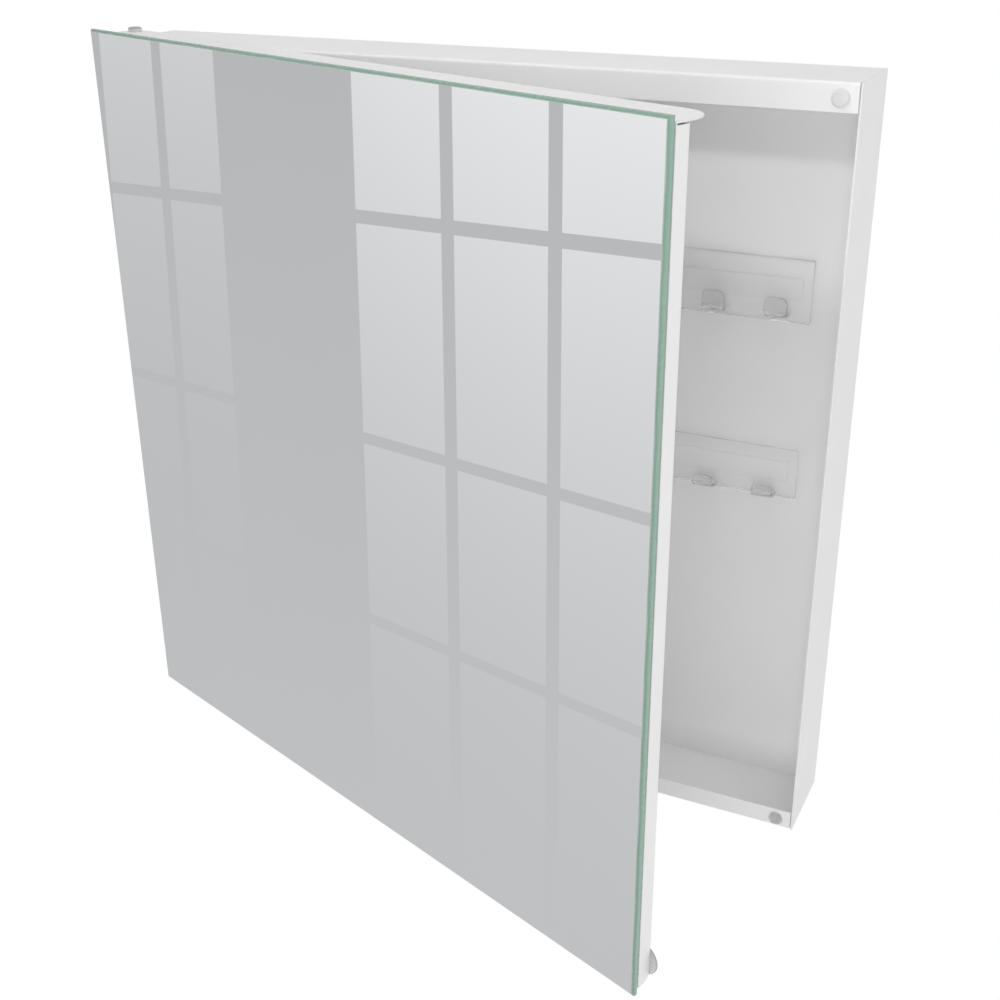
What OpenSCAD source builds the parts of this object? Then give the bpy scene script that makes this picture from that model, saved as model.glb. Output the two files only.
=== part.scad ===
// Wall-hung bathroom medicine cabinet with one mirror door.
// A shallow folded steel box hangs on two wall screws. The door is a folded steel tray with a
// mirror glass taped to its front. It turns on two headed pins near its left edge, closes on a
// rubber bumper and a small round magnet, and carries a round steel disc that the magnet holds
// and a finger pulls. Two clear hook strips stand on the inside of the back panel.
// Millimetres. X is to the right, Y is towards the wall, Z is up. The origin is the middle of
// the two wall-screw holes, on the back face.

/* [Cabinet box] */
// Overall width of the steel box
body_w = 615; // [520:1:800]
// Overall height of the steel box
body_h = 600; // [480:1:800]
// Overall depth of the steel box
body_d = 75; // [60:1:140]
// Thickness of the box's sheet steel
sheet_t = 1.2; // [0.8:0.1:2]
// Height of the folded rail along the top of the opening
top_rail_h = 20; // [16:0.5:40]
// Height of the folded rail along the bottom of the opening
bottom_rail_h = 16.5; // [15:0.5:40]
// Outside radius of the folds between the top and bottom panels and their rails
fold_r = 2.5; // [2.2:0.1:4]
// Gap left at each end of a rail, beside the side panel
rail_gap = 0.8; // [0.3:0.1:2]

/* [Wall holes] */
// Distance between the two wall-screw holes
hole_pitch = 500; // [300:5:500]
// Height of the wall-screw holes below the top of the box
hole_drop = 22; // [18:1:60]
// Diameter of the wall-screw holes
hole_d = 6; // [4:0.5:8]

/* [Door] */
// Angle the door stands open in the stored pose; 0 is shut
door_open = 20; // [0:1:100]
// Width of the mirror glass
glass_w = 612; // [518:1:800]
// Height of the mirror glass
glass_h = 617; // [497:0.5:820]
// How far the middle of the glass sits above the middle of the box
glass_rise = 1; // [0:0.25:2]
// Thickness of the mirror glass
glass_t = 5; // [3:0.5:6]
// How far the glass reaches past the box's left side when the door is shut
glass_over_left = 2; // [1:0.5:4]
// Distance from the glass's front face to the front of the box when the door is shut
glass_front = 22.2; // [20:0.1:26]
// Thickness of the door tray's sheet steel
tray_t = 1.0; // [0.8:0.1:1.2]
// Depth of the tray's folded side rims, measured from the glass's front face
rim_v = 18; // [17:0.1:18]
// Depth of the tray's top flange, measured from the glass's front face
flange_v = 46; // [44:0.5:60]
// Corner radius at the free end of the top flange
flange_r = 24; // [5:1:28]
// Height of the top flange above the box
flange_lift = 5.5; // [4:0.5:8]
// Drop of the tray's bottom flange below the box
flange_drop = 3.2; // [2.8:0.1:6]

/* [Hinge] */
// Hinge axis, distance in from the box's left side
hinge_x = 8; // [7.5:0.5:12]
// Hinge axis, distance back from the front of the box
hinge_y = 14; // [12:0.5:16]
// Diameter of the hinge pins
pin_d = 5; // [4:0.5:5]
// Diameter of the hinge pins' heads
pin_head_d = 11; // [10:0.5:14]
// Height of the hinge pins' heads
pin_head_h = 3.5; // [3:0.5:6]

/* [Catch] */
// Diameter of the round bumper and of the magnet's rim
bumper_d = 12; // [9:0.5:12.5]
// How far the bumper stands out of the rail
bumper_h = 4; // [3.6:0.1:4.1]
// Distance from the box's right side to the middle of the bumper and the magnet
catch_in = 14; // [12:0.5:20]
// Diameter of the steel disc on the door
disc_d = 26; // [22:0.5:28]
// How far the disc's middle lies inside the glass's right edge
disc_in = 7; // [5:0.5:8]

/* [Hook strips] */
// Number of hooks on each strip
hook_n = 11; // [3:1:11]
// Distance from hook to hook
hook_pitch = 49; // [40:0.5:49]
// Width of one hook
hook_w = 18; // [8:0.5:24]
// How far a hook reaches out from its strip
hook_reach = 13; // [8:0.5:20]
// Height of the upper strip
strip_h_upper = 49.5; // [36:0.5:60]
// Height of the lower strip
strip_h_lower = 41.5; // [36:0.5:60]
// Height of the upper strip's lower edge above the bottom of the box
strip_z_upper = 410; // [330:1:420]
// Height of the lower strip's lower edge above the bottom of the box
strip_z_lower = 264.5; // [40:0.5:265]

/* [Hidden] */
$fn = 48;
eps = 0.01;

white = [0.93, 0.93, 0.92];
steel = [0.70, 0.71, 0.72];

plate_t = 2;                       // hinge and hanging plates
film_t = 0.4;                      // safety film on the back of the glass
tape_t = 0.8;                      // mirror tape
pan_v = glass_t + film_t + tape_t; // front face of the tray's pan, behind the glass's front
lip_w = 24;                        // the return lip of the right rim
left_lip_w = 12;                   // the return lip of the left rim
fit_c = 0.05;                      // radial clearance of the hinge and of pressed pieces
tray_u0 = 1.5;                     // tray's left side, from the glass's left edge
tray_u1 = glass_w - 0.5;           // tray's right side
top_z = body_h + flange_lift;      // outside of the top flange
bot_z = -flange_drop;              // outside of the bottom flange
glass_z0 = (body_h - glass_h) / 2 + glass_rise;
bush_r = 4.5;
bush_flange_r = 6.5;
magnet_z = 8.2;
strip_t = 2;
strip_tape_t = 0.8;
disc_t = 1.5;
disc_z = 13;
pin_u = hinge_x + glass_over_left; // hinge axis in the door's own coordinates
pin_v = glass_front + hinge_y;

// Cabinet coordinates: x from the left side, y from the front of the box, z from its bottom.
module cab() { translate([-body_w / 2, -body_d, -(body_h - hole_drop)]) children(); }

// Door coordinates: u from the glass's left edge, v back from the glass's front face, z as the
// cabinet's. The door is drawn shut and turned about the hinge axis.
module door() {
    cab() translate([hinge_x, hinge_y, 0]) rotate([0, 0, -door_open])
        translate([-pin_u, -pin_v, 0]) children();
}

module box(a, b) { translate(a) cube(b - a); }
// A cylinder along Z between two heights.
module rod(x, y, z0, z1, r) { translate([x, y, z0]) cylinder(h = z1 - z0, r = r); }
// A cylinder along Y between two depths.
module rod_y(x, z, y0, y1, r) {
    translate([x, y0, z]) rotate([-90, 0, 0]) cylinder(h = y1 - y0, r = r);
}

// ---- cabinet box ----
module back_panel() {
    color(white) cab() difference() {
        box([sheet_t, body_d - sheet_t, sheet_t], [body_w - sheet_t, body_d, body_h - sheet_t]);
        for (s = [-1, 1])
            rod_y(body_w / 2 + s * hole_pitch / 2, body_h - hole_drop, body_d - 5, body_d + 5, hole_d / 2);
    }
}

module side_left() { color(white) cab() box([0, 0, 0], [sheet_t, body_d, body_h]); }
module side_right() {
    color(white) cab() box([body_w - sheet_t, 0, 0], [body_w, body_d, body_h]);
}

// A panel with a rail folded down from its front edge, drawn with the panel's outside at z = 0
// and the rail reaching down to z = -h. The rail stops short of the side panels.
module folded(h) {
    r = fold_r;
    ri = fold_r - sheet_t;
    box([sheet_t, r, -sheet_t], [body_w - sheet_t, body_d, 0]);
    a = sheet_t + rail_gap;
    b = body_w - sheet_t - rail_gap;
    translate([a, 0, 0]) rotate([90, 0, 90]) linear_extrude(b - a) {
        intersection() {
            translate([r, -r]) difference() { circle(r); circle(ri); }
            translate([0, -r]) square([r, r]);
        }
        translate([0, -h]) square([sheet_t, h - r]);
    }
}

module hinge_hole(z0, z1) { rod(hinge_x, hinge_y, z0, z1, bush_r + fit_c); }

module top_panel() {
    color(white) cab() difference() {
        translate([0, 0, body_h]) folded(top_rail_h);
        hinge_hole(body_h - 5, body_h + 5);
    }
}

module bottom_panel() {
    color(white) cab() difference() {
        mirror([0, 0, 1]) folded(bottom_rail_h);
        hinge_hole(-5, 5);
        rod_y(body_w - catch_in, magnet_z, -5, 5, magnet_barrel_r + fit_c);
    }
}

module hang_plates() {
    color(white) cab() for (s = [-1, 1]) {
        x = body_w / 2 + s * hole_pitch / 2;
        difference() {
            box([x - 30, body_d - sheet_t - plate_t, body_h - hole_drop - 9],
                [x + 30, body_d - sheet_t, body_h - hole_drop + 9]);
            rod_y(x, body_h - hole_drop, body_d - 10, body_d + 5, hole_d / 2);
        }
    }
}

module hinge_plate(z0) {
    color(white) cab() difference() {
        box([sheet_t, fold_r + 0.5, z0], [sheet_t + 40, fold_r + 40, z0 + plate_t]);
        hinge_hole(z0 - 5, z0 + 5);
    }
}
module hinge_plate_upper() { hinge_plate(body_h - sheet_t - plate_t); }
module hinge_plate_lower() { hinge_plate(sheet_t); }

// ---- hinge ----
// A flanged bush: its flange spaces the door off the box, its barrel lines the hole.
module bush(lift) {
    color([0.88, 0.88, 0.86]) difference() {
        union() {
            cylinder(h = lift, r = bush_flange_r);
            translate([0, 0, -sheet_t - plate_t]) cylinder(h = sheet_t + plate_t + 1, r = bush_r);
        }
        translate([0, 0, -10]) cylinder(h = 30, r = pin_d / 2 + fit_c);
    }
}
module bush_upper() {
    cab() translate([hinge_x, hinge_y, body_h]) bush(flange_lift - tray_t - 0.2);
}
module bush_lower() {
    cab() translate([hinge_x, hinge_y, 0]) mirror([0, 0, 1]) bush(flange_drop - tray_t - 0.2);
}

// A headed pin, drawn with the underside of its head at z = 0 and its shank downwards.
// g is the height of the clip's groove.
module pin(g) {
    r = pin_d / 2;
    hr = pin_head_d / 2;
    color(steel) rotate_extrude() polygon([[0, g - 4], [r - 0.6, g - 4], [r, g - 3.4], [r, g],
        [r - 0.5, g], [r - 0.5, g + 1], [r, g + 1], [r, 0], [hr - 0.3, 0], [hr, 0.3],
        [hr, pin_head_h - 1.2], [hr - 0.35, pin_head_h - 0.4], [hr - 1.2, pin_head_h],
        [0, pin_head_h]]);
}
module clip() {
    r = pin_d / 2 - 0.5 + 0.02;
    color([0.45, 0.46, 0.48]) difference() {
        cylinder(h = 0.9, r = 5);
        translate([0, 0, -1]) cylinder(h = 3, r = r);
        translate([0, -r * 0.8, -1]) cube([8, r * 1.6, 3]);
    }
}
clip_gap = 0.4;
groove_upper = -(flange_lift + sheet_t + plate_t + clip_gap + 0.95);
groove_lower = -(flange_drop + sheet_t + plate_t + clip_gap + 0.95);
module pin_upper() { door() translate([pin_u, pin_v, top_z]) pin(groove_upper); }
module pin_lower() {
    door() translate([pin_u, pin_v, bot_z]) mirror([0, 0, 1]) pin(groove_lower);
}
module clip_upper() {
    door() translate([pin_u, pin_v, top_z + groove_upper + 0.05]) clip();
}
module clip_lower() {
    door() translate([pin_u, pin_v, bot_z]) mirror([0, 0, 1])
        translate([0, 0, groove_lower + 0.05]) clip();
}

// ---- bumper and magnet ----
module bumper() {
    r = bumper_d / 2;
    color([0.86, 0.86, 0.85]) cab() translate([body_w - catch_in, 0, body_h - top_rail_h / 2 - 0.6])
        rotate([90, 0, 0]) rotate_extrude() polygon([[0, 0], [r, 0], [r, bumper_h - 1.6],
            [r - 0.25, bumper_h - 0.8], [r - 0.8, bumper_h - 0.25], [r - 1.6, bumper_h],
            [0, bumper_h]]);
}

magnet_barrel_r = bumper_d / 2 - 1.2;
magnet_core_r = magnet_barrel_r - 0.8;
magnet_out = 2.5;
module magnet_cup() {
    color(steel) cab() translate([body_w - catch_in, 0, magnet_z]) rotate([90, 0, 0])
        difference() {
            union() {
                cylinder(h = 1.2, r = bumper_d / 2 - 0.2);
                translate([0, 0, -6]) cylinder(h = 6 + magnet_out - 0.3, r = magnet_barrel_r);
            }
            translate([0, 0, -5]) cylinder(h = 20, r = magnet_core_r);
        }
}
module magnet_core() {
    color([0.55, 0.55, 0.56]) cab() translate([body_w - catch_in, 0, magnet_z])
        rotate([90, 0, 0]) translate([0, 0, -5]) cylinder(h = 5 + magnet_out, r = magnet_core_r - 0.02);
}

// ---- door ----
// A flat plate in u and v, from height z0 to z1, with one rounded corner at each free end.
module flange(u0, u1, v0, v1, z0, z1, ra, rb) {
    difference() {
        box([u0, v0, z0], [u1, v1, z1]);
        if (ra > 0) difference() {
            box([u0 - 1, v1 - ra, z0 - 1], [u0 + ra, v1 + 1, z1 + 1]);
            rod(u0 + ra, v1 - ra, z0 - 2, z1 + 2, ra);
        }
        if (rb > 0) difference() {
            box([u1 - rb, v1 - rb, z0 - 1], [u1 + 1, v1 + 1, z1 + 1]);
            rod(u1 - rb, v1 - rb, z0 - 2, z1 + 2, rb);
        }
    }
}
rim_gap = 1.1;   // gap between the ends of a rim and the flanges
rim_r = 8;       // corner radius at the lower end of the right rim
rim_z0 = bot_z + 0.4;
rim_z1 = top_z - tray_t - rim_gap;

module door_tray() {
    t = tray_t;
    color(white) door() difference() {
        union() {
            box([tray_u0, pan_v, bot_z], [tray_u1, pan_v + t, top_z]);
            flange(tray_u0, tray_u1, pan_v, flange_v, top_z - t, top_z, 6, flange_r);
            // right rim and its return lip
            difference() {
                union() {
                    box([tray_u1 - t, pan_v, rim_z0], [tray_u1, rim_v, rim_z1]);
                    box([tray_u1 - lip_w, rim_v - t, rim_z0], [tray_u1, rim_v, rim_z1]);
                }
                difference() {
                    box([tray_u1 - lip_w - 1, rim_v - rim_r, rim_z0 - 1],
                        [tray_u1 + 1, rim_v + 1, rim_z0 + rim_r]);
                    translate([tray_u1 - lip_w - 2, rim_v - rim_r, rim_z0 + rim_r])
                        rotate([0, 90, 0]) cylinder(h = lip_w + 4, r = rim_r);
                }
            }
            // left rim and its return lip
            box([tray_u0, pan_v, rim_z0], [tray_u0 + t, rim_v, rim_z1]);
            box([tray_u0, rim_v - t, rim_z0 + 6], [tray_u0 + left_lip_w, rim_v, rim_z1 - 6]);
            // bottom flange, with a deep ear for the lower pin
            box([tray_u0, pan_v, bot_z], [tray_u1 - 12, rim_v - 5, bot_z + t]);
            flange(tray_u0, tray_u0 + 40, pan_v, flange_v, bot_z, bot_z + t, 6, 12);
        }
        rod(pin_u, pin_v, top_z - 5, top_z + 5, pin_d / 2 + 0.02);
        rod(pin_u, pin_v, bot_z - 5, bot_z + 5, pin_d / 2 + 0.02);
        rod_y(disc_rivet_u, disc_z, rim_v - 5, rim_v + 5, rivet_r + 0.02);
    }
}

// The glass's edges are ground to a slant: a wide one in front, a narrow one behind.
slant_w = 2;       // width of the front slant, on the glass's face
slant_t = 1.5;     // its depth, on the glass's edge
slant_back = 0.5;  // width and depth of the slant behind
module glass_layer(inset, v0, v1) {
    box([inset, v0, glass_z0 + inset], [glass_w - inset, v1, glass_z0 + glass_h - inset]);
}
module mirror_glass() {
    color([0.75, 0.78, 0.78]) door() hull() {
        glass_layer(slant_w, 0, glass_t / 2);
        glass_layer(0, slant_t, glass_t - slant_back);
        glass_layer(slant_back, glass_t / 2, glass_t);
    }
}
module mirror_film() {
    color([0.45, 0.47, 0.48]) door() box([1, glass_t, glass_z0 + 1],
        [glass_w - 1, glass_t + film_t, glass_z0 + glass_h - 1]);
}
tape_n = 5;
module glass_tapes() {
    u0 = 24;
    step = (glass_w - 2 * u0 - 24) / (tape_n - 1);
    color([0.2, 0.2, 0.2]) door() for (i = [0 : tape_n - 1])
        box([u0 + i * step, glass_t + film_t, 20], [u0 + 24 + i * step, pan_v, body_h - 20]);
}

// ---- disc that the magnet holds ----
disc_u = glass_w - disc_in;
disc_rivet_u = glass_w - 7.5;
rivet_r = 1.6;
module grip_disc() {
    r = disc_d / 2;
    color(steel) door() difference() {
        translate([disc_u, rim_v, disc_z]) rotate([-90, 0, 0]) rotate_extrude()
            polygon([[0, 0], [r - 0.4, 0], [r, 0.4], [r, disc_t - 0.4], [r - 0.4, disc_t], [0, disc_t]]);
        translate([disc_rivet_u, rim_v, disc_z]) rotate([-90, 0, 0]) translate([0, 0, -1])
            cylinder(h = 5, r = rivet_r + 0.02);
        translate([disc_rivet_u, rim_v + disc_t - 1.2, disc_z]) rotate([-90, 0, 0])
            cylinder(h = 1.2, r1 = rivet_r + 0.02, r2 = rivet_r + 1.22);
        translate([disc_rivet_u, rim_v + disc_t - eps, disc_z]) rotate([-90, 0, 0])
            cylinder(h = 1, r = rivet_r + 1.22);
    }
}
module disc_rivet() {
    color(steel) door() translate([disc_rivet_u, rim_v, disc_z]) rotate([-90, 0, 0])
        rotate_extrude() polygon([[0, -tray_t - 1], [2.2, -tray_t - 1], [2.8, -tray_t - 0.6],
            [2.8, -tray_t], [rivet_r, -tray_t], [rivet_r, disc_t - 1.2],
            [rivet_r + 1.1, disc_t - 0.1], [rivet_r + 1.1, disc_t], [0, disc_t]]);
}

// ---- hook strips ----
// One clear moulding: a flat strip with a row of upturned hooks near its lower edge. It is
// drawn with its lower edge at z = 0 and its back at y = 0, reaching towards -Y.
strip_w = hook_n * hook_pitch;
module hook(z0, tip) {
    r = hook_reach;
    a = 2.6;
    w = hook_w / 2;
    y = -strip_t;
    // arm
    box([-w, y - r, z0], [w, y + eps, z0 + a]);
    // upturned tip with rounded upper corners
    difference() {
        box([-w, y - r, z0], [w, y - r + a, z0 + tip]);
        for (s = [-1, 1]) difference() {
            box([min(s * (w - 5), s * (w + 1)), y - r - 1, z0 + tip - 5],
                [max(s * (w - 5), s * (w + 1)), y - r + a + 1, z0 + tip + 1]);
            rod_y(s * (w - 5), z0 + tip - 5, y - r - 2, y - r + a + 2, 5);
        }
    }
}
module hook_strip(h, zh, tip) {
    box([-strip_w / 2, -strip_t, 0], [strip_w / 2, 0, h]);
    for (i = [0 : hook_n - 1]) translate([(i - (hook_n - 1) / 2) * hook_pitch, 0, 0]) hook(zh, tip);
}
module place_strip(z) {
    cab() translate([body_w / 2, body_d - sheet_t - strip_tape_t, z]) children();
}
clear = [0.90, 0.92, 0.92, 0.45];
module hook_strip_upper() {
    color(clear) place_strip(strip_z_upper) hook_strip(strip_h_upper, 5, 17);
}
module hook_strip_lower() {
    color(clear) place_strip(strip_z_lower) hook_strip(strip_h_lower, 1.5, 11);
}
module strip_tape(h) {
    box([-strip_w / 2 + 8, 0, h / 2 - 9], [strip_w / 2 - 8, strip_tape_t, h / 2 + 9]);
}
module strip_tape_upper() {
    color([0.95, 0.95, 0.95]) place_strip(strip_z_upper) strip_tape(strip_h_upper);
}
module strip_tape_lower() {
    color([0.95, 0.95, 0.95]) place_strip(strip_z_lower) strip_tape(strip_h_lower);
}

back_panel();
side_left();
side_right();
top_panel();
bottom_panel();
hang_plates();
hinge_plate_upper();
hinge_plate_lower();
bush_upper();
bush_lower();
pin_upper();
pin_lower();
clip_upper();
clip_lower();
bumper();
magnet_cup();
magnet_core();
door_tray();
mirror_glass();
mirror_film();
glass_tapes();
grip_disc();
disc_rivet();
hook_strip_upper();
hook_strip_lower();
strip_tape_upper();
strip_tape_lower();
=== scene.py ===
# %% [markdown]
# # A wall-hung medicine cabinet with one mirror door
# The cabinet is a shallow box of folded, powder-coated sheet steel with a mirror glass on a
# folded steel door. The CAD model already holds the true size of every piece. This notebook
# dresses it: it gives each CAD piece its finish, swaps a few pieces for softer, more finely
# drawn ones, and sets up a plain studio. We start by loading the CAD pieces as they are, and
# keep their overall box, so that the dressed model can be compared with it at the end.

import math

import bmesh
import bpy
import numpy as np
from mathutils import Matrix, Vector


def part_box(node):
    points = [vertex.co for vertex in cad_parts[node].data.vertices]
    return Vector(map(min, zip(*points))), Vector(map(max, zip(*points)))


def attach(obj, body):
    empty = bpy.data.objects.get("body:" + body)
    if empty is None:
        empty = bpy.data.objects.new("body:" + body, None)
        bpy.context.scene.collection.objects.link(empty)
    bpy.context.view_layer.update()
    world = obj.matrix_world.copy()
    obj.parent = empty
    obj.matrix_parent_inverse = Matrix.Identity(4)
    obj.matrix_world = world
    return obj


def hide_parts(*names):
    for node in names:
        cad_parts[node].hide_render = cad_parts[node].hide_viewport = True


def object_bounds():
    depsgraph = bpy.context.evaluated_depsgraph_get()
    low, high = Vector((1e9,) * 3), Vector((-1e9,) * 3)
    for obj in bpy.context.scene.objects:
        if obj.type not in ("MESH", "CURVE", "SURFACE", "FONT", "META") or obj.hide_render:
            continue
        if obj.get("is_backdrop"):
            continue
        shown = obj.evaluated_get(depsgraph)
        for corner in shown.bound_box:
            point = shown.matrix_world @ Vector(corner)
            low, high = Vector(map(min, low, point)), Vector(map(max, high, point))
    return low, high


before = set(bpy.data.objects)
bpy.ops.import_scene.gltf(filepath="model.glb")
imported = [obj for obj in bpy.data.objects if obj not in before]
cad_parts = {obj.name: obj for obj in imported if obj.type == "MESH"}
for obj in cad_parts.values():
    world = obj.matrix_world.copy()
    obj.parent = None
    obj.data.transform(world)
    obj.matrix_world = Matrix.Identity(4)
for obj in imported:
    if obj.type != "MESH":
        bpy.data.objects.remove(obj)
cad_low, cad_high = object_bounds()
cad_size = [round(1000 * v, 1) for v in cad_high - cad_low]
print("CAD pieces:", len(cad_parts), "size in mm:", cad_size)

# %% [markdown]
# ## Two sets of axes
# Every piece is drawn in metres, X to the right, Y towards the wall, Z up, from the middle of
# the two wall screws. The box is easiest to think about in millimetres from its own left,
# front, bottom corner, and the door in millimetres from the mirror's left edge and front face.
# Two small functions turn those into the shared axes. The door is turned on its hinge by the
# angle it stands open, so its function is a rotation about the hinge followed by a shift. The
# last lines work out one corner of the glass in both ways, as a check of the two functions. Its
# front face starts a slant's width in from the edge.

# %% Cabinet and door coordinates
BODY_W, BODY_D, BODY_H, HOLE_DROP = 615.0, 75.0, 600.0, 22.0
GLASS_W, GLASS_H, GLASS_T, GLASS_RISE = 612.0, 617.0, 5.0, 1.0
DOOR_OPEN = math.radians(20)
HINGE = np.array([8.0, 14.0])
PIN_U, PIN_V = 10.0, 36.2


def cabinet(points):
    """Box millimetres (x, y, z) to shared metres: subtract the origin's place and divide by 1000."""
    return (np.asarray(points, float) - [BODY_W / 2, BODY_D, BODY_H - HOLE_DROP]) / 1000


def door(points):
    """Door millimetres (u, v, z) to shared metres: shift the pin to zero, turn clockwise by the
    opening angle (x = u cos a + v sin a, y = v cos a - u sin a), and shift to the hinge."""
    p = np.asarray(points, float)
    u, v = p[..., 0] - PIN_U, p[..., 1] - PIN_V
    c, s = math.cos(DOOR_OPEN), math.sin(DOOR_OPEN)
    return cabinet(np.stack([u * c + v * s + HINGE[0], v * c - u * s + HINGE[1], p[..., 2]], -1))


SLANT_W, SLANT_T, SLANT_BACK = 2.0, 1.5, 0.5
glass_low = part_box("mirror_glass")[0]
corner = door([GLASS_W - SLANT_W, 0, 0])
print("free corner of the glass, worked out and from the CAD:", np.round(corner, 4), round(glass_low.y, 4))

# %% [markdown]
# ## Camera
# The cabinet is seen from its right, a little above, with the door standing open. A camera has
# a place, a direction and a lens. The direction is given by three turns: yaw to the left,
# pitch down and a hair of roll. Writing the three axes of the camera as the columns of a
# matrix is clearer than Euler angles, because each column can be read as a direction. The
# lamps are stood up in the same way further on.

# %% Camera
CAMERA_AT = (0.50972, -1.03723, 0.15954)
YAW, PITCH, ROLL = (math.radians(a) for a in (25.9702, 24.5197, -0.4143))
LENS, SENSOR_WIDTH = 50.99, 36


def stand(item, axes, at):
    """Links an item to the scene, with its own x, y and z axes along three directions."""
    turn = np.eye(4)
    turn[:3, :3] = np.stack(axes, 1)
    turn[:3, 3] = at
    item.matrix_world = Matrix(turn.tolist())
    bpy.context.scene.collection.objects.link(item)


ahead = np.array([-math.sin(YAW) * math.cos(PITCH), math.cos(YAW) * math.cos(PITCH), -math.sin(PITCH)])
right = np.array([math.cos(YAW), math.sin(YAW), 0.0])
above = np.cross(right, ahead)
right, above = (right * math.cos(ROLL) + above * math.sin(ROLL),
                above * math.cos(ROLL) - right * math.sin(ROLL))
camera_data = bpy.data.cameras.new("camera")
camera_data.lens, camera_data.sensor_width = LENS, SENSOR_WIDTH
camera_data.clip_start, camera_data.clip_end = 0.01, 200
camera = bpy.data.objects.new("camera", camera_data)
stand(camera, [right, above, -ahead], CAMERA_AT)
bpy.context.scene.camera = camera
print("camera looks along", np.round(ahead, 3), "with a", LENS, "mm lens")

# %% [markdown]
# ## Surfaces from arrays
# All new pieces come from one idea: a surface is a grid of points, worked out as one numpy
# array, whose neighbours are joined by four-sided faces. The grid may wrap round in either
# direction. Points that fall together, as at the pole of a turned piece, are welded, so every
# piece is closed. Smooth shading with an angle limit keeps flats flat and rounds round.

# %% Grid helper
WELD = 2e-6


def grid_piece(name, points, wrap=(False, False), caps=False, sharp=35.0):
    """A mesh from an array of points of shape (copies, rows, columns, 3). Point (i, j) is joined
    to (i, j + 1), (i + 1, j + 1) and (i + 1, j). With caps, the first and last row of each copy
    are closed by one flat face."""
    p = np.asarray(points, float)
    p = p[None] if p.ndim == 3 else p
    n, rows, cols = p.shape[:3]
    spans = np.arange(n), np.arange(rows - (not wrap[0])), np.arange(cols - (not wrap[1]))
    k, i, j = np.meshgrid(*spans, indexing="ij")
    at = lambda i, j: (k * rows + i % rows) * cols + j % cols
    faces = np.stack([at(i, j), at(i, j + 1), at(i + 1, j + 1), at(i + 1, j)], -1)
    faces = faces.reshape(-1, 4).tolist()
    if caps:
        ring = np.arange(cols)
        first = np.arange(n)[:, None] * rows * cols + ring[::-1]
        last = (np.arange(n)[:, None] * rows + rows - 1) * cols + ring
        faces += first.tolist() + last.tolist()
    mesh = bpy.data.meshes.new(name)
    mesh.from_pydata(p.reshape(-1, 3).tolist(), [], faces)
    return finish_mesh(name, mesh, sharp)


def finish_mesh(name, mesh, sharp):
    """Welds points that fall together, turns all faces outwards and shades the piece smooth up
    to an angle."""
    bm = bmesh.new()
    bm.from_mesh(mesh)
    bmesh.ops.remove_doubles(bm, verts=bm.verts, dist=WELD)
    bmesh.ops.recalc_face_normals(bm, faces=bm.faces)
    bm.to_mesh(mesh)
    bm.free()
    mesh.shade_smooth()
    mesh.set_sharp_from_angle(angle=math.radians(sharp))
    piece = bpy.data.objects.new(name, mesh)
    bpy.context.scene.collection.objects.link(piece)
    return piece


def soft_corners(corners, cut, steps=5, closed=False):
    """Rounds the corners of a line. Each corner P becomes the curve (1-s)^2 A + 2s(1-s) P + s^2 B,
    where A and B lie a cut's length from P towards the corners before and after it. An open
    line keeps its two end points."""
    p = np.asarray(corners, float)
    cut = np.broadcast_to(np.asarray(cut, float), (len(p),))[:, None]
    before, after = np.roll(p, 1, 0) - p, np.roll(p, -1, 0) - p
    far = lambda d: d / np.maximum(np.linalg.norm(d, axis=1, keepdims=True), 1e-9)
    a, b = p + far(before) * cut, p + far(after) * cut
    if not closed:
        a[0], b[0], a[-1], b[-1] = p[0], p[0], p[-1], p[-1]
    s = np.linspace(0, 1, steps)[None, :, None]
    line = (1 - s) ** 2 * a[:, None] + 2 * s * (1 - s) * p[:, None] + s**2 * b[:, None]
    return line.reshape(-1, 2)


def turned(name, profile, place, around=96):
    """A turned piece. The profile gives radius r and height h; the point at angle a is
    place(r cos a, r sin a, h)."""
    r, h = np.asarray(profile, float).T
    a = np.linspace(0, 2 * math.pi, around, endpoint=False)
    high = np.broadcast_to(h[:, None], (len(r), around))
    p = np.stack([r[:, None] * np.cos(a), r[:, None] * np.sin(a), high], -1)
    return grid_piece(name, place(p), wrap=(False, True))


print("helpers: grid_piece, soft_corners, turned")

# %% [markdown]
# ## Studio
# The cabinet hangs on a wall that isn't part of the object, so the studio is only a large pale
# floor at the height a bathroom floor would have, a white surround, and soft light. The
# surround is white to the eye, and calm grey to anything that mirrors it: a mirror in an
# all-white room would look like paper. Matt surfaces get a fill that is a little stronger from
# the right, from behind and from below, as light from the white room would be. Two wide soft
# lamps, in front and overhead, light the faces, and a small one high in front draws the
# shadows under the rails and beside the bumper. The strength of the fill in a direction D is
# base + lean . D. The floor is only seen: it casts no shadow and sends no light back.

# %% Floor, surround and lamp
def node_setup(holder, kind):
    """Clears a material's or world's nodes and returns its tree, a maker of nodes and a joiner."""
    holder.use_nodes = True
    tree = holder.node_tree
    tree.nodes.clear()
    out = tree.nodes.new("ShaderNodeOutput" + kind)

    def make(kind_of_node, **values):
        node = tree.nodes.new("ShaderNode" + kind_of_node)
        for key, value in values.items():
            if hasattr(node, key):
                setattr(node, key, value)
            else:
                node.inputs[key.replace("_", " ")].default_value = value
        return node

    return out, make, tree.links.new


scene = bpy.context.scene
scene.view_settings.view_transform = "Standard"

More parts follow.
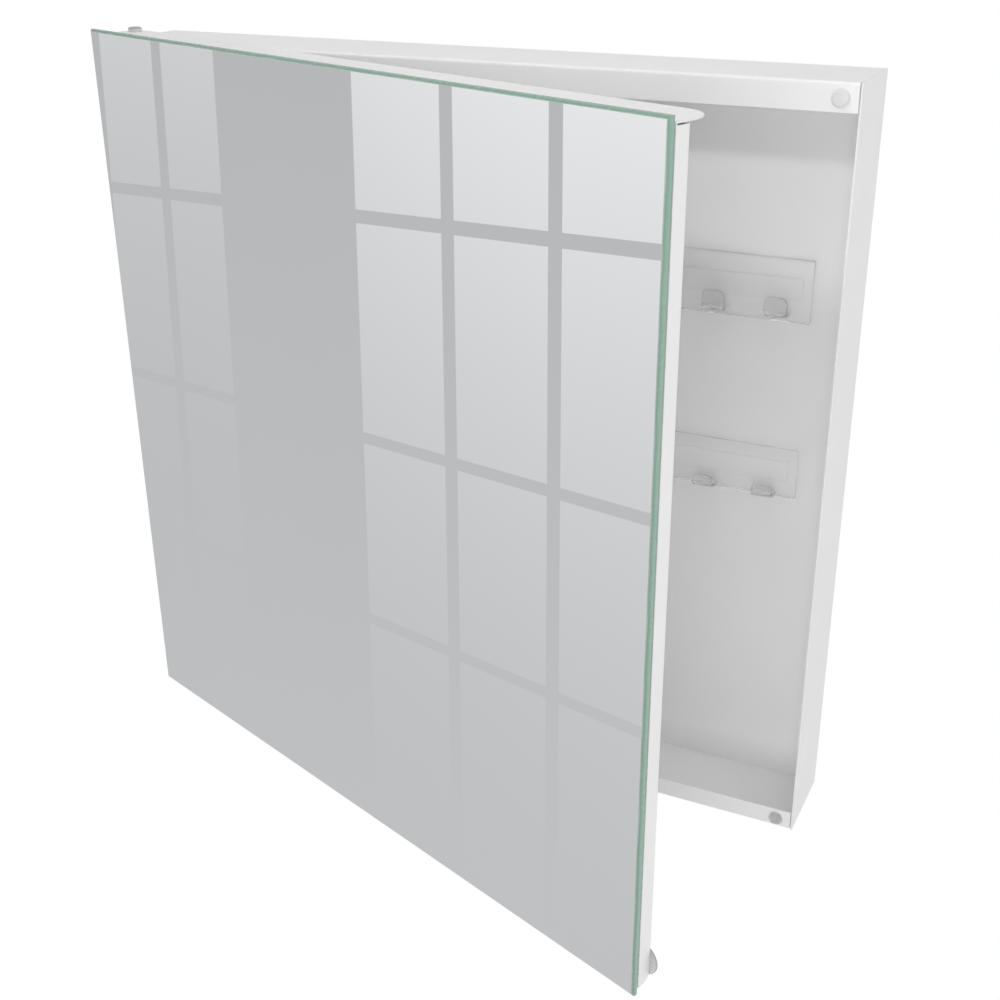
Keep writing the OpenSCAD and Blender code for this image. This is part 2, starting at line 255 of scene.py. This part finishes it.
WHITE = (1, 1, 1, 1)
FLOOR_Z, FLOOR_HALF = -1.75, 60
FILL_BASE, FILL_LEAN = 0.600, (0.36, 0.243, -0.155)
GLOSS_TONES = [(0.18, (0.558, 0.560, 0.571, 1)), (0.46, (0.494, 0.496, 0.507, 1))]
LAMP_AIM = np.array([0.2, -0.05, -0.25])
LAMPS = [("key_lamp", (-0.078, -0.975, 0.583), 0.10, 2.3),
         ("front_lamp", (0.35, -2.5, -0.25), 1.5, 20.5),
         ("top_lamp", (0.2, -0.484, 2.212), 1.5, 18.0)]
world = bpy.data.worlds.new("surround")
scene.world = world
out, make, join = node_setup(world, "World")
path = make("LightPath")
seen = make("Background", Color=WHITE, Strength=1.0)
fill = make("Background", Color=WHITE)
gloss = make("Background", Strength=1.0)
coord, split = make("TexCoord"), make("SeparateXYZ")
ramp = make("ValToRGB")
for stop, (height, tone) in zip(ramp.color_ramp.elements, GLOSS_TONES):
    stop.position, stop.color = height, tone
lift = make("MapRange")
lift.inputs["From Min"].default_value, lift.inputs["From Max"].default_value = -1, 1
join(coord.outputs["Generated"], split.inputs[0])
join(split.outputs["Z"], lift.inputs["Value"])
join(lift.outputs["Result"], ramp.inputs["Fac"])
lean, base = make("VectorMath", operation="DOT_PRODUCT"), make("Math", operation="ADD")
lean.inputs[1].default_value, base.inputs[1].default_value = FILL_LEAN, FILL_BASE
join(coord.outputs["Generated"], lean.inputs[0])
join(lean.outputs["Value"], base.inputs[0])
join(base.outputs[0], fill.inputs["Strength"])
join(ramp.outputs["Color"], gloss.inputs["Color"])
eye, shine = make("MixShader"), make("MixShader")
join(path.outputs["Is Glossy Ray"], shine.inputs[0])
join(fill.outputs[0], shine.inputs[1])
join(gloss.outputs[0], shine.inputs[2])
join(path.outputs["Is Camera Ray"], eye.inputs[0])
join(shine.outputs[0], eye.inputs[1])
join(seen.outputs[0], eye.inputs[2])
join(eye.outputs[0], out.inputs["Surface"])

tiles = np.linspace(-FLOOR_HALF, FLOOR_HALF, 9)
floor = grid_piece("floor", np.stack(np.meshgrid(tiles, tiles, [FLOOR_Z], indexing="ij"), -1)[:, :, 0])
floor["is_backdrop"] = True
floor.visible_glossy = floor.visible_diffuse = False
floor.visible_shadow = floor.visible_transmission = False
floor_paint = bpy.data.materials.new("floor_white")
out, make, join = node_setup(floor_paint, "Material")
glow = make("Emission", Color=WHITE, Strength=1.0)
join(glow.outputs[0], out.inputs["Surface"])
floor.data.materials.append(floor_paint)

for name, at, size, watts in LAMPS:
    lamp_data = bpy.data.lights.new(name, "AREA")
    lamp_data.size, lamp_data.energy = size, watts
    lamp = bpy.data.objects.new(name, lamp_data)
    back = (at - LAMP_AIM) / np.linalg.norm(at - LAMP_AIM)
    side = np.cross([0, 0, 1], back)
    side /= np.linalg.norm(side)
    stand(lamp, [side, np.cross(back, side), back], at)
    lamp.visible_camera = lamp.visible_glossy = False
print("floor at", FLOOR_Z, "m and", len(LAMPS), "lamps")

# %% [markdown]
# ## What the mirror sees
# A mirror has no look of its own, so a studio gives it something to show. Here it is the panes
# of two tall windows with narrow bars, seen from below the far wall: bright high up and fading
# into the grey room lower down. The panes are a flat card that only mirrors can see. Its place
# is given from the camera's own mirror image behind the door, because every reflected ray
# seems to start there; in that view a pane is a plain rectangle.

# %% Window card
mirror_out = np.array([-math.sin(DOOR_OPEN), -math.cos(DOOR_OPEN), 0.0])
mirror_at = door([0, 0, 0]) * [1, 1, 0]
image_of_camera = np.array(CAMERA_AT) - 2 * ((np.array(CAMERA_AT) - mirror_at) @ mirror_out) * mirror_out
CARD_ACROSS = np.array([0.9351, -0.3435, 0.0873])
CARD_UP = np.array([-0.1116, -0.0516, 0.9924])
CARD_AWAY = np.array([-0.3364, -0.9377, -0.0865])
CARD_FAR = 2.3
PANES_ACROSS = [(-1.80, -1.6715), (-1.6501, -1.5306),
                (-1.2641, -1.1214), (-1.1017, -0.9655), (-0.9468, -0.60)]
PANES_UP = [(0.12, -0.1638), (-0.1789, -0.4201), (-0.4336, -0.6474), (-0.6609, -0.95)]
GLOW, GLOW_FOOT, GLOW_CAP = 0.30, -0.95, 1.2
GLOW_ACROSS = [-1.8, -1.53, -1.26, -0.80], [0.46, 0.50, 0.90, 1.32]
FADE_ACROSS = [-1.50, -1.30], [2.9, 1.8]

cells = np.array([(*side, *level) for level in PANES_UP for side in PANES_ACROSS])
s, t = np.linspace(0, 1, 2)[None, None, :], np.linspace(0, 1, 13)[None, :, None]
across = cells[:, 0, None, None] * (1 - s) + cells[:, 1, None, None] * s + 0 * t
up = cells[:, 2, None, None] * (1 - t) + cells[:, 3, None, None] * t + 0 * s
on_card = CARD_AWAY + across[..., None] * CARD_ACROSS + up[..., None] * CARD_UP
panes = image_of_camera + CARD_FAR * on_card
card = grid_piece("window_card", panes)
card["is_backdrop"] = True
card.visible_camera = card.visible_diffuse = False
card.visible_shadow = card.visible_transmission = False

# The glow of a point at a across and b up the card: G r^f g(a), where r = (b - foot) / -foot.
# It is brighter to the right and high up, and fades to nothing at the foot, faster on the left.
xyz = np.empty(len(card.data.vertices) * 3)
card.data.vertices.foreach_get("co", xyz)
rel = (xyz.reshape(-1, 3) - image_of_camera) / CARD_FAR
a, b = rel @ CARD_ACROSS, rel @ CARD_UP
rise = np.clip((b - GLOW_FOOT) / -GLOW_FOOT, 0, GLOW_CAP)
glow_at = GLOW * rise ** np.interp(a, *FADE_ACROSS) * np.interp(a, *GLOW_ACROSS)
glow_at = np.repeat(glow_at[:, None], 4, 1)
glow_at[:, 3] = 1
colour = card.data.color_attributes.new("glow", "FLOAT_COLOR", "POINT")
colour.data.foreach_set("color", glow_at.ravel())
card_light = bpy.data.materials.new("window_light")
out, make, join = node_setup(card_light, "Material")
attr, emit = make("Attribute", attribute_name="glow"), make("Emission", Strength=1.0)
both, clear = make("AddShader"), make("BsdfTransparent")
join(attr.outputs["Color"], emit.inputs["Color"])
join(emit.outputs[0], both.inputs[0])
join(clear.outputs[0], both.inputs[1])
join(both.outputs[0], out.inputs["Surface"])
card.data.materials.append(card_light)
print("window card of", len(cells), "panes,", CARD_FAR, "m from the mirrored camera")

# %% [markdown]
# ## White powder coat
# The box and the door tray are sheet steel with a satin white powder coat. Up close the coat
# is not flat: it has a fine orange-peel ripple of about a millimetre, a slightly uneven sheen
# and tone, and it rounds over the sheet's cut edges. Three noise patterns on the object's own
# coordinates make the ripple, the sheen and the tone. A Bevel node turns the shading at sharp
# edges, so that they catch light as a coated edge does with no change to the CAD shape. The
# door tray gets a greyer copy of the same white, as painted shade that dims the door's rim and flange.

# %% Powder coat
MIX_A, MIX_B, MIX_OUT = 6, 7, 2  # the colour sockets of a Mix node
EDGE_SAMPLES = 6


def finish(name, **values):
    """A material with one Principled shader, and helpers to add nodes to it."""
    material = bpy.data.materials.new(name)
    out, make, join = node_setup(material, "Material")
    shader = make("BsdfPrincipled")
    for key, value in values.items():
        shader.inputs[key.replace("_", " ")].default_value = value
    join(shader.outputs[0], out.inputs["Surface"])
    place = make("TexCoord")
    return material, shader, make, join, place.outputs["Object"]


def mottle(make, join, place, scale, low, high, detail=2.0, stretch=(1, 1, 1)):
    """A noise pattern on the object's coordinates whose value runs between low and high."""
    mapping, spread = make("Mapping"), make("MapRange")
    noise = make("TexNoise", Scale=scale, Detail=detail)
    mapping.inputs["Scale"].default_value = stretch
    spread.inputs["From Min"].default_value, spread.inputs["From Max"].default_value = 0.3, 0.7
    spread.inputs["To Min"].default_value, spread.inputs["To Max"].default_value = low, high
    join(place, mapping.inputs["Vector"])
    join(mapping.outputs[0], noise.inputs["Vector"])
    join(noise.outputs[0], spread.inputs["Value"])
    return spread.outputs["Result"]


def tint(make, join, value, dark, light):
    """A colour between dark and light, by a value from 0 to 1."""
    mix = make("Mix", data_type="RGBA")
    mix.inputs[MIX_A].default_value, mix.inputs[MIX_B].default_value = (*dark, 1), (*light, 1)
    join(value, mix.inputs[0])
    return mix.outputs[MIX_OUT]


def ripple(make, join, shader, height, strength, distance, edge=0.0):
    """Bumps the surface by a height pattern; edge is the radius of the rounded sheet edges."""
    bump = make("Bump", Strength=strength, Distance=distance)
    join(height, bump.inputs["Height"])
    if edge:
        soft = make("Bevel", Radius=edge)
        soft.samples = EDGE_SAMPLES
        join(soft.outputs[0], bump.inputs["Normal"])
    join(bump.outputs[0], shader.inputs["Normal"])


def powder_coat(name, dark, light):
    """A satin coat with uneven tone and sheen, a fine ripple, and sheet edges rounded by 0.5 mm."""
    material, shader, make, join, place = finish(name, IOR=1.5, Specular_IOR_Level=0.45)
    join(tint(make, join, mottle(make, join, place, 14, 0, 1), dark, light), shader.inputs["Base Color"])
    join(mottle(make, join, place, 45, 0.36, 0.48), shader.inputs["Roughness"])
    ripple(make, join, shader, mottle(make, join, place, 850, 0, 1, 3.0), 0.10, 0.0001, 0.0005)
    return material


COAT_DARK, COAT_LIGHT = (0.912, 0.912, 0.909), (0.926, 0.926, 0.924)
# the tray's greyer white is painted shade on the door; the tray has the same powder coat as the box
TRAY_SHADED_DARK, TRAY_SHADED_LIGHT = (0.872, 0.872, 0.869), (0.888, 0.888, 0.886)
box_white = powder_coat("box_powder_coat", COAT_DARK, COAT_LIGHT)
tray_white_shaded = powder_coat("tray_coat_painted_shade", TRAY_SHADED_DARK, TRAY_SHADED_LIGHT)


def dress(material, *names):
    """Gives CAD nodes a material."""
    for name in names:
        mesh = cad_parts[name].data
        mesh.materials.clear()
        mesh.materials.append(material)


dress(box_white, "back_panel", "side_left", "side_right", "top_panel", "bottom_panel",
      "hang_plates", "hinge_plate_upper", "hinge_plate_lower")
dress(tray_white_shaded, "door_tray")
print("powder coat on the box and the tray")

# %% [markdown]
# ## Small metal and plastic parts
# Plated steel pins, spring clips, a nickel cup round the magnet, a brushed steel disc, nylon
# bushes, a soft rubber bumper, and the film and foam tapes behind the glass. Metal gets its look
# from its base colour, full metallic and a roughness that varies; brushing is a noise pattern
# that runs finer along one direction than along the others.

# %% Metal, nylon and rubber
def metal(name, dark, light, rough, scale=300, stretch=(1, 1, 1), bump=0.02):
    """A metal whose grain colours it, bumps it and varies its roughness."""
    material, shader, make, join, place = finish(name, Metallic=1.0)
    grain = mottle(make, join, place, scale, 0, 1, 4.0, stretch)
    join(tint(make, join, grain, dark, light), shader.inputs["Base Color"])
    join(mottle(make, join, place, scale / 3, *rough, 2.0, stretch), shader.inputs["Roughness"])
    ripple(make, join, shader, grain, bump, 0.00005, 0.0002)
    return material


def plastic(name, dark, light, rough, scale, bump):
    """An opaque plastic, with the same three uses of its grain."""
    material, shader, make, join, place = finish(name, IOR=1.48)
    grain = mottle(make, join, place, scale, 0, 1, 3.0)
    join(tint(make, join, grain, dark, light), shader.inputs["Base Color"])
    join(mottle(make, join, place, scale / 5, *rough), shader.inputs["Roughness"])
    ripple(make, join, shader, grain, bump, 0.00008, 0.0002)
    return material


pin_steel = metal("plated_pin", (0.70, 0.70, 0.69), (0.84, 0.84, 0.83), (0.14, 0.26))
clip_steel = metal("spring_steel", (0.22, 0.23, 0.25), (0.30, 0.31, 0.33), (0.30, 0.42))
cup_nickel = metal("nickel_cup", (0.80, 0.80, 0.79), (0.90, 0.90, 0.89), (0.20, 0.30))
magnet_grey = metal("magnet_plating", (0.72, 0.72, 0.72), (0.80, 0.80, 0.80), (0.25, 0.38))
disc_steel = metal("disc_brushed", (0.70, 0.72, 0.70), (0.80, 0.82, 0.80), (0.24, 0.38),
                   400, (1, 1, 14), 0.06)
nylon = plastic("nylon", (0.70, 0.70, 0.67), (0.76, 0.76, 0.73), (0.38, 0.50), 700, 0.08)
rubber = plastic("bumper_rubber", (0.75, 0.75, 0.745), (0.79, 0.79, 0.785), (0.25, 0.38), 1200, 0.15)
film = plastic("safety_film", (0.62, 0.66, 0.635), (0.68, 0.71, 0.69), (0.45, 0.60), 300, 0.10)
foam = plastic("foam_tape", (0.03, 0.03, 0.03), (0.05, 0.05, 0.05), (0.70, 0.85), 2500, 0.50)
dress(pin_steel, "pin_upper", "pin_lower")
dress(clip_steel, "clip_upper", "clip_lower")
dress(cup_nickel, "magnet_cup")
dress(magnet_grey, "magnet_core")
dress(disc_steel, "grip_disc", "disc_rivet")
dress(nylon, "bush_upper", "bush_lower")
dress(film, "mirror_film")
dress(foam, "glass_tapes")
print("small parts dressed")

# %% [markdown]
# ## Bumper
# The bumper is a stick-on dome of rubber: a short round side, a full rounded shoulder and a
# faintly crowned top. Its outline is a quarter circle for the shoulder and a parabola for the
# crown, turned about the dome's middle. It sits on the top rail, near the right end.

# %% Bumper
BUMPER_R, BUMPER_H, SHOULDER, CROWN = 6.0, 4.0, 1.8, 0.25
BUMPER_IN, BUMPER_DOWN = 14.0, 10.6
BUMPER_AT = (BODY_W - BUMPER_IN, 0, BODY_H - BUMPER_DOWN)
turn_by = np.linspace(0, math.pi / 2, 12)
shoulder = np.stack([BUMPER_R + SHOULDER * (np.cos(turn_by) - 1),
                     BUMPER_H - CROWN + SHOULDER * (np.sin(turn_by) - 1)], 1)
reach = np.linspace(1, 0, 8)[1:]
crown = np.stack([(BUMPER_R - SHOULDER) * reach, BUMPER_H - CROWN * reach**2], 1)
outline = np.concatenate([[[0, 0], [BUMPER_R, 0]], shoulder, crown])
on_rail = lambda p: cabinet(np.stack([p[..., 0], -p[..., 2], p[..., 1]], -1) + BUMPER_AT)
dome = turned("bumper_dome", outline, on_rail)
dome.data.materials.append(rubber)
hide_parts("bumper")
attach(dome, "cabinet")
print("bumper dome:", len(dome.data.polygons), "faces")

# %% [markdown]
# ## Mirror glass
# A 5 mm sheet of float glass, silvered behind, with ground and polished edges. The faces mirror
# the room and the edges show the green of the glass. It is one closed skin: a cross-section of
# the edge, with a small slanted arris at front and back, is carried round the rectangle, and
# the two flat faces close it. Seen edge-on, thick glass is dark green near its ground arrises
# and glows lighter in the middle, where light travels along inside the sheet. Modelling that
# light with real refraction would be slow and noisy, so the edge's material is opaque and paints
# that light into its colour by the depth behind the front face: a thin painted highlight on each
# arris, dark lines beside them and a lighter core.

# %% Mirror glass
def slab(name, outline, section, place):
    """A plate. The outline is a closed line; at each step of the section, given as (inset,
    depth), the line is offset inwards and set at the depth. With unit normals n1 and n2 of the
    two edges that meet at a point, the offset point is P + inset (n1 + n2) / (1 + n1.n2)."""
    o = np.asarray(outline, float)
    edge = np.roll(o, -1, 0) - o
    n2 = np.stack([-edge[:, 1], edge[:, 0]], -1) / np.linalg.norm(edge, axis=1, keepdims=True)
    n1 = np.roll(n2, 1, 0)
    inward = (n1 + n2) / (1 + np.sum(n1 * n2, 1, keepdims=True))
    sec = np.asarray(section, float)
    ring = o[None] + inward[None] * sec[:, 0, None, None]
    p = np.concatenate([ring, np.broadcast_to(sec[:, 1, None, None], (*ring.shape[:2], 1))], -1)
    return grid_piece(name, place(p), wrap=(False, True), caps=True, sharp=8)


FLAT_ON = 0.98  # a face that looks more nearly along the door's normal than this is flat glass
z0, z1 = (BODY_H - GLASS_H) / 2 + GLASS_RISE, (BODY_H + GLASS_H) / 2 + GLASS_RISE
sheet = [(0, z0), (GLASS_W, z0), (GLASS_W, z1), (0, z1)]
profile = [(SLANT_W, 0), (0, SLANT_T), (0, GLASS_T - SLANT_BACK), (SLANT_BACK, GLASS_T)]
edge = soft_corners(profile, [0, 0.35, 0.2, 0], 5)[4:-4]
on_door = lambda p: door(np.stack([p[..., 0], p[..., 2], p[..., 1]], -1))
glass = slab("mirror_pane", sheet, edge, on_door)

SILVER_DARK, SILVER_LIGHT = (0.930, 0.938, 0.942), (0.940, 0.948, 0.952)
silver, shader, make, join, place = finish("silvered_glass", Metallic=1.0)
tone = tint(make, join, mottle(make, join, place, 3, 0, 1), SILVER_DARK, SILVER_LIGHT)
join(tone, shader.inputs["Base Color"])
join(mottle(make, join, place, 25, 0.0, 0.012), shader.inputs["Roughness"])

# Depth of a point P behind the front face, from 0 to 1 across the edge: (P0 - P) . n / thickness,
# where P0 is on the front face and n is its outward normal.
green, shader, make, join, place = finish("glass_edge_green", IOR=1.52, Coat_Weight=0.6, Coat_Roughness=0.12)
depth = make("VectorMath", operation="DOT_PRODUCT")
depth.inputs[1].default_value = tuple(-mirror_out / (GLASS_T / 1000))
level = make("Math", operation="SUBTRACT")
level.inputs[1].default_value = float(-mirror_out @ mirror_at / (GLASS_T / 1000))
wander = make("Math", operation="ADD")
across_edge = make("ValToRGB")
# the stops paint the light inside the glass: a highlight on each arris, dark lines beside them and a lighter
# core
EDGE_PAINTED_LIGHT = [(0.0, (0.40, 0.52, 0.45)), (0.14, (0.20, 0.32, 0.255)), (0.30, (0.27, 0.42, 0.34)),
              (0.60, (0.33, 0.49, 0.40)), (0.86, (0.26, 0.43, 0.34)), (0.97, (0.38, 0.53, 0.455))]
bands = across_edge.color_ramp.elements
for number, (at, tone) in enumerate(EDGE_PAINTED_LIGHT):
    band = bands[number] if number < 2 else bands.new(at)  # a new ramp comes with two stops
    band.position, band.color = at, (*tone, 1)
join(place, depth.inputs[0])
join(depth.outputs["Value"], level.inputs[0])
join(level.outputs[0], wander.inputs[0])
join(mottle(make, join, place, 30, -0.05, 0.05), wander.inputs[1])
join(wander.outputs[0], across_edge.inputs["Fac"])
join(across_edge.outputs["Color"], shader.inputs["Base Color"])
join(mottle(make, join, place, 90, 0.18, 0.32), shader.inputs["Roughness"])
glass.data.materials.append(silver)
glass.data.materials.append(green)

normals = np.empty(len(glass.data.polygons) * 3)
glass.data.polygons.foreach_get("normal", normals)
facing = np.abs(normals.reshape(-1, 3) @ mirror_out)
on_edge = facing < FLAT_ON
glass.data.polygons.foreach_set("material_index", on_edge.astype(np.int32))
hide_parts("mirror_glass")
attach(glass, "door")
print("mirror glass:", len(glass.data.polygons), "faces,", int(on_edge.sum()), "on the edge")

# %% [markdown]
# ## Clear hook strips
# Two clear mouldings stand on the back panel, each a thin plate with a row of upturned hooks
# near its lower edge. The plate is a slab with rounded corners and soft edges. A hook is a
# ribbon: a flat, round-edged cross-section carried out along the arm, round the bend and up
# the tip, where it narrows to a rounded end. All eleven hooks of a strip are one array, because
# they differ only by a shift along the strip.

# %% Hook strips
STRIP_X = (38.0, 577.0)
STRIP_FRONT, STRIP_BACK, STRIP_CORNER = 71.0, 72.95, 1.5
HOOKS, HOOK_PITCH, HOOK_HALF, HOOK_REACH = 11, 49.0, 9.0, 13.0
ROOT_IN, ARM_Z, ARM_HALF, THINNER, BEND, LEAN = 0.15, 1.3, 1.3, 0.45, 4.2, 0.4
END_W, END_H = 5.0, 1.1
SQUARE_W, SQUARE_H = 0.32, 0.75


def hook_ribbons(name, z0, tip):
    """Hooks as ribbons. The centre line C(t) goes out and up; N(t) is its normal in the side
    view. A point is C(t) + N(t) h(t) S(sin a) + X w(t) S(cos a), where S(x) = sign(x) |x|^p
    squares the ellipse, and w and h shrink along a quarter circle at the tip."""
    bend_y = STRIP_FRONT - HOOK_REACH + ARM_HALF
    root, bend = (STRIP_FRONT + ROOT_IN, z0 + ARM_Z), (bend_y, z0 + ARM_Z)
    line = soft_corners([root, bend, (bend_y - LEAN, z0 + tip)], [0, BEND, 0], 13)
    keep = np.append(True, np.linalg.norm(np.diff(line, axis=0), axis=1) > 1e-6)
    line = line[keep]
    run = np.append(0, np.cumsum(np.linalg.norm(np.diff(line, axis=0), axis=1)))
    total = run[-1]
    near_tip = total - END_W * (1 - np.sin(np.linspace(0, math.pi / 2, 14)))
    s = np.unique(np.concatenate([np.linspace(0, total - END_W, 22), near_tip]))
    y, z = np.interp(s, run, line[:, 0]), np.interp(s, run, line[:, 1])
    dy, dz = np.gradient(y, s), np.gradient(z, s)
    size = np.hypot(dy, dz)
    ny, nz = -dz / size, dy / size
    left = np.clip((s - (total - END_W)) / END_W, 0, 1)
    w = HOOK_HALF - END_W + END_W * np.sqrt(1 - left**2)
    end = np.clip((s - (total - END_H)) / END_H, 0, 1)
    h = (ARM_HALF - THINNER * s / total) * np.sqrt(np.maximum(1 - end**2, 0))
    w = np.where(end >= 1, 0, w)
    a = np.linspace(0, 2 * math.pi, 28, endpoint=False)
    squared = lambda x, p: np.sign(x) * np.abs(x) ** p
    across = w[:, None] * squared(np.cos(a), SQUARE_W)
    out = h[:, None] * squared(np.sin(a), SQUARE_H)
    x0 = BODY_W / 2 + (np.arange(HOOKS) - (HOOKS - 1) / 2) * HOOK_PITCH
    p = np.broadcast_arrays(x0[:, None, None] + across,
                            y[None, :, None] + out * ny[:, None],
                            z[None, :, None] + out * nz[:, None])
    return grid_piece(name, cabinet(np.stack(p, -1)), wrap=(False, True), caps=True, sharp=50)


def hook_strip(name, z, height, hook_z, tip):
    """A plate and its hooks, joined as one piece. The plate's lower edge is at z; the hooks start
    hook_z above it and stand tip high."""
    (x0, x1), top = STRIP_X, z + height
    outline = soft_corners([(x0, z), (x1, z), (x1, top), (x0, top)], STRIP_CORNER, 5, True)
    t = STRIP_BACK - STRIP_FRONT
    section = [(0.3, 0), (0.09, 0.09), (0, 0.3), (0, t - 0.3), (0.09, t - 0.09), (0.3, t)]
    on_panel = lambda p: cabinet(np.stack([p[..., 0], STRIP_FRONT + p[..., 2], p[..., 1]], -1))
    plate = slab(name, outline, section, on_panel)
    hooks = hook_ribbons(name + "_hooks", z + hook_z, tip)
    with bpy.context.temp_override(active_object=plate, selected_editable_objects=[plate, hooks]):
        bpy.ops.object.join()
    return plate


strip_up = hook_strip("clear_strip_upper", 410.0, 49.5, 5.0, 17.0)
strip_low = hook_strip("clear_strip_lower", 264.5, 41.5, 1.5, 11.0)
STRIPS = [(strip_up, "hook_strip_upper"), (strip_low, "hook_strip_lower")]
print("strips:", [len(strip.data.polygons) for strip, node in STRIPS], "faces")

# %% [markdown]
# ## Clear plastic
# A thin clear plate on a white wall hardly shows: most light passes straight through it and a
# little is mirrored. Bending every ray in the plate would darken it instead, because a renderer
# can't aim at a lamp through a surface that bends light. So the opacity of the flat plate is
# only a tenth, and the rest goes straight through. The hooks bend most of the light, which
# shows their shape. The thin rim round the plate bends all of it and has a darker grey tint:
# painted shade for the dark line that light draws along the edge of clear plastic. The tape
# behind a strip takes the tone of the coat under it, a little glossier.

# %% Clear plastic and tape
SHEET, HOOK, RIM = 0, 1, 2
RIM_ON = 0.95  # a face of the plate that looks less nearly forwards than this is on its rim


def clear_plastic(name, opacity, dark):
    """A clear plastic of a given opacity, whose tint runs from a grey up to white."""
    material, shader, make, join, place = finish(name, IOR=1.49, Transmission_Weight=1.0, Alpha=opacity)
    tone = tint(make, join, mottle(make, join, place, 30, 0, 1), (dark, dark, dark), (1, 1, 1))
    join(tone, shader.inputs["Base Color"])
    join(mottle(make, join, place, 120, 0.01, 0.04), shader.inputs["Roughness"])
    return material


# the rim's grey tint of 0.45 is painted shade: the dark line along a clear plastic edge
clear_kinds = [clear_plastic("clear_sheet", 0.10, 0.98), clear_plastic("clear_hook", 0.80, 0.94),
               clear_plastic("clear_rim_painted_shade", 1.0, 0.45)]
for strip, node in STRIPS:
    strip.data.materials.clear()
    for plastic_kind in clear_kinds:
        strip.data.materials.append(plastic_kind)
    normals, middles = (np.empty(len(strip.data.polygons) * 3) for _ in range(2))
    strip.data.polygons.foreach_get("normal", normals)
    strip.data.polygons.foreach_get("center", middles)
    on_plate = middles.reshape(-1, 3)[:, 1] > cabinet([0, STRIP_FRONT - 0.01, 0])[1]
    on_rim = on_plate & (np.abs(normals.reshape(-1, 3)[:, 1]) < RIM_ON)
    kind = np.where(on_rim, RIM, np.where(on_plate, SHEET, HOOK))
    strip.data.polygons.foreach_set("material_index", kind.astype(np.int32))
    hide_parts(node)
    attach(strip, "cabinet")
clear_tape, shader, make, join, place = finish("clear_tape", IOR=1.47)
tone = tint(make, join, mottle(make, join, place, 14, 0, 1), COAT_DARK, COAT_LIGHT)
join(tone, shader.inputs["Base Color"])
join(mottle(make, join, place, 200, 0.12, 0.2), shader.inputs["Roughness"])
dress(clear_tape, "strip_tape_upper", "strip_tape_lower")
print("clear plastics:", [kind.name for kind in clear_kinds])

# %% [markdown]
# ## Sizes
# The last lines work out the box of the dressed model and print how far its low and high
# corners lie from those of the CAD's box, in millimetres.

# %% Sizes against the CAD box
new_low, new_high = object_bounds()
past = [[round(1000 * v, 2) for v in change] for change in (new_low - cad_low, new_high - cad_high)]
print("visual box against CAD box in mm:", *past)
